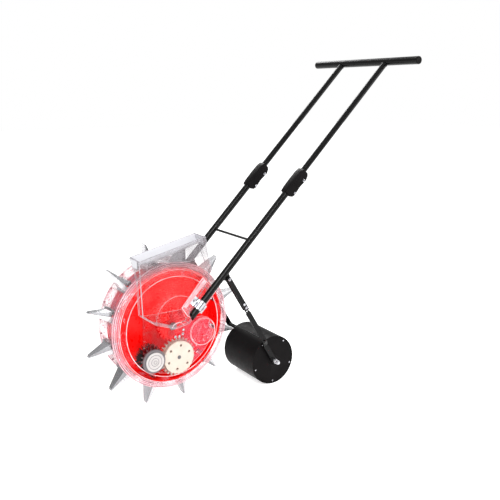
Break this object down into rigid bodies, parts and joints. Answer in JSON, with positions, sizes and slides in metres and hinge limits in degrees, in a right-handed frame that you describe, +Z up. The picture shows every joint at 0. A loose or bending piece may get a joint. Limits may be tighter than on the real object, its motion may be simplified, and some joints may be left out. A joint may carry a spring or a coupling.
{
  "type": "push seeder",
  "caption": "Hand-pushed seeder: a spiked seed drum with a clear side hopper and metering rollers, a firming roller on adjustable arms, and a telescoping T handle.",
  "frame": {"origin": "on the ground, under the centre of the bounding box", "axes": "+Z up; the seeder is pushed towards -X, so the handle leans back towards +X; +Y is its right-hand side, and the hopper is on the left, -Y"},
  "size_m": [1.0252, 0.4748, 1.0316],
  "materials": {
    "clear_plastic": "clear moulded polycarbonate",
    "pink_plastic": "clear moulded plastic with a pink tint",
    "red_plastic": "bright red moulded, glossy",
    "black_paint": "satin black powder coat on steel",
    "black_plastic": "black moulded, satin",
    "cream_plastic": "cream nylon, satin",
    "brush_grey": "grey holder with a white cap and black bristles",
    "steel": "pressed stainless steel",
    "dark_steel": "pressed steel, duller",
    "chrome": "bright plated"
  },
  "bodies": {
    "frame": {"left_lower_tube": "black_paint", "right_lower_tube": "black_paint", "cross_bar": "black_paint", "left_coupler": "black_plastic", "right_coupler": "black_plastic", "left_coupler_screw": "chrome", "right_coupler_screw": "chrome", "left_tube_clamp": "chrome", "right_tube_clamp": "chrome", "left_bracket": "clear_plastic", "right_bracket": "clear_plastic", "hopper": "clear_plastic", "metering_plate": "pink_plastic", "discharge_cover": "clear_plastic", "axle": "steel"},
    "upper_handle": {"left_upper_tube": "black_paint", "right_upper_tube": "black_paint", "grip_bar": "black_paint"},
    "drum": {"drum_shell_left": "clear_plastic", "drum_shell_right": "clear_plastic", "drum_dish": "red_plastic", "hub_bearing": "dark_steel", "hub_gear": "red_plastic", "mouth_01": "steel", "mouth_02": "steel", "mouth_03": "steel", "mouth_04": "steel", "mouth_05": "steel", "mouth_06": "steel", "mouth_07": "steel", "mouth_08": "steel", "mouth_09": "steel", "mouth_10": "steel", "mouth_11": "steel", "mouth_12": "steel"},
    "seed_roller": {"seed_roller": "cream_plastic"},
    "brush_wheel": {"brush_wheel": "brush_grey"},
    "arm_upper": {"left_arm_channel": "black_paint", "right_arm_channel": "black_paint", "left_arm_screw": "chrome", "right_arm_screw": "chrome"},
    "arm_lower": {"left_arm_bar": "black_paint", "right_arm_bar": "black_paint", "scraper_rod": "black_paint", "roller_axle": "steel"},
    "firming_roller": {"roller_shell": "black_plastic", "left_roller_cap": "black_plastic", "right_roller_cap": "black_plastic"},
    "flap_01": {"flap_01": "dark_steel"},
    "flap_02": {"flap_02": "dark_steel"},
    "flap_03": {"flap_03": "dark_steel"},
    "flap_04": {"flap_04": "dark_steel"},
    "flap_05": {"flap_05": "dark_steel"},
    "flap_06": {"flap_06": "dark_steel"},
    "flap_07": {"flap_07": "dark_steel"},
    "flap_08": {"flap_08": "dark_steel"},
    "flap_09": {"flap_09": "dark_steel"},
    "flap_10": {"flap_10": "dark_steel"},
    "flap_11": {"flap_11": "dark_steel"},
    "flap_12": {"flap_12": "dark_steel"}
  },
  "joints": [
    {"name": "handle_slide", "type": "slide", "parent": "frame", "child": "upper_handle", "axis": [0.7039, 0, 0.7103], "range_m": [-0.15, 0.08]},
    {"name": "drum_spin", "type": "hinge", "parent": "frame", "child": "drum", "pos_m": [-0.26653, 0, 0.24604], "axis": [0, 1, 0], "continuous": true},
    {"name": "seed_roller_spin", "type": "hinge", "parent": "frame", "child": "seed_roller", "pos_m": [-0.2483, 0, 0.14772], "axis": [0, 1, 0], "continuous": true},
    {"name": "brush_spin", "type": "hinge", "parent": "frame", "child": "brush_wheel", "pos_m": [-0.33409, 0, 0.15372], "axis": [0, 1, 0], "continuous": true},
    {"name": "arm_pivot", "type": "hinge", "parent": "frame", "child": "arm_upper", "pos_m": [-0.10503, 0, 0.37804], "axis": [0, 1, 0], "range_deg": [-75, 10]},
    {"name": "arm_slide", "type": "slide", "parent": "arm_upper", "child": "arm_lower", "axis": [0.5285, 0, -0.849], "range_m": [-0.01, 0.06]},
    {"name": "roller_spin", "type": "hinge", "parent": "arm_lower", "child": "firming_roller", "pos_m": [0.08099, 0, 0.07921], "axis": [0, 1, 0], "continuous": true},
    {"name": "flap_01_hinge", "type": "hinge", "parent": "drum", "child": "flap_01", "pos_m": [-0.08276, 0, 0.28079], "axis": [0, 1, 0], "range_deg": [0, 25], "stiffness_Nm_per_rad": 0.3, "springref_deg": -17.19},
    {"name": "flap_02_hinge", "type": "hinge", "parent": "drum", "child": "flap_02", "pos_m": [-0.12475, 0, 0.36802], "axis": [0, 1, 0], "range_deg": [0, 25], "stiffness_Nm_per_rad": 0.3, "springref_deg": -17.19},
    {"name": "flap_03_hinge", "type": "hinge", "parent": "drum", "child": "flap_03", "pos_m": [-0.20474, 0, 0.42256], "axis": [0, 1, 0], "range_deg": [0, 25], "stiffness_Nm_per_rad": 0.3, "springref_deg": -17.19},
    {"name": "flap_04_hinge", "type": "hinge", "parent": "drum", "child": "flap_04", "pos_m": [-0.30128, 0, 0.42981], "axis": [0, 1, 0], "range_deg": [0, 25], "stiffness_Nm_per_rad": 0.3, "springref_deg": -17.19},
    {"name": "flap_05_hinge", "type": "hinge", "parent": "drum", "child": "flap_05", "pos_m": [-0.3885, 0, 0.38782], "axis": [0, 1, 0], "range_deg": [0, 25], "stiffness_Nm_per_rad": 0.3, "springref_deg": -17.19},
    {"name": "flap_06_hinge", "type": "hinge", "parent": "drum", "child": "flap_06", "pos_m": [-0.44305, 0, 0.30784], "axis": [0, 1, 0], "range_deg": [0, 25], "stiffness_Nm_per_rad": 0.3, "springref_deg": -17.19},
    {"name": "flap_07_hinge", "type": "hinge", "parent": "drum", "child": "flap_07", "pos_m": [-0.4503, 0, 0.2113], "axis": [0, 1, 0], "range_deg": [0, 25], "stiffness_Nm_per_rad": 0.3, "springref_deg": -17.19},
    {"name": "flap_08_hinge", "type": "hinge", "parent": "drum", "child": "flap_08", "pos_m": [-0.4083, 0, 0.12407], "axis": [0, 1, 0], "range_deg": [0, 25], "stiffness_Nm_per_rad": 0.3, "springref_deg": -17.19},
    {"name": "flap_09_hinge", "type": "hinge", "parent": "drum", "child": "flap_09", "pos_m": [-0.32832, 0, 0.06952], "axis": [0, 1, 0], "range_deg": [0, 25], "stiffness_Nm_per_rad": 0.3, "springref_deg": -17.19},
    {"name": "flap_10_hinge", "type": "hinge", "parent": "drum", "child": "flap_10", "pos_m": [-0.23178, 0, 0.06227], "axis": [0, 1, 0], "range_deg": [0, 25], "stiffness_Nm_per_rad": 0.3, "springref_deg": -17.19},
    {"name": "flap_11_hinge", "type": "hinge", "parent": "drum", "child": "flap_11", "pos_m": [-0.14455, 0, 0.10427], "axis": [0, 1, 0], "range_deg": [0, 25], "stiffness_Nm_per_rad": 0.3, "springref_deg": -17.19},
    {"name": "flap_12_hinge", "type": "hinge", "parent": "drum", "child": "flap_12", "pos_m": [-0.09001, 0, 0.18425], "axis": [0, 1, 0], "range_deg": [0, 25], "stiffness_Nm_per_rad": 0.3, "springref_deg": -17.19}
  ],
  "couplings": [
    {"joint": "seed_roller_spin", "follows": "drum_spin", "ratio": -0.78571},
    {"joint": "brush_spin", "follows": "drum_spin", "ratio": 1.4667}
  ]
}
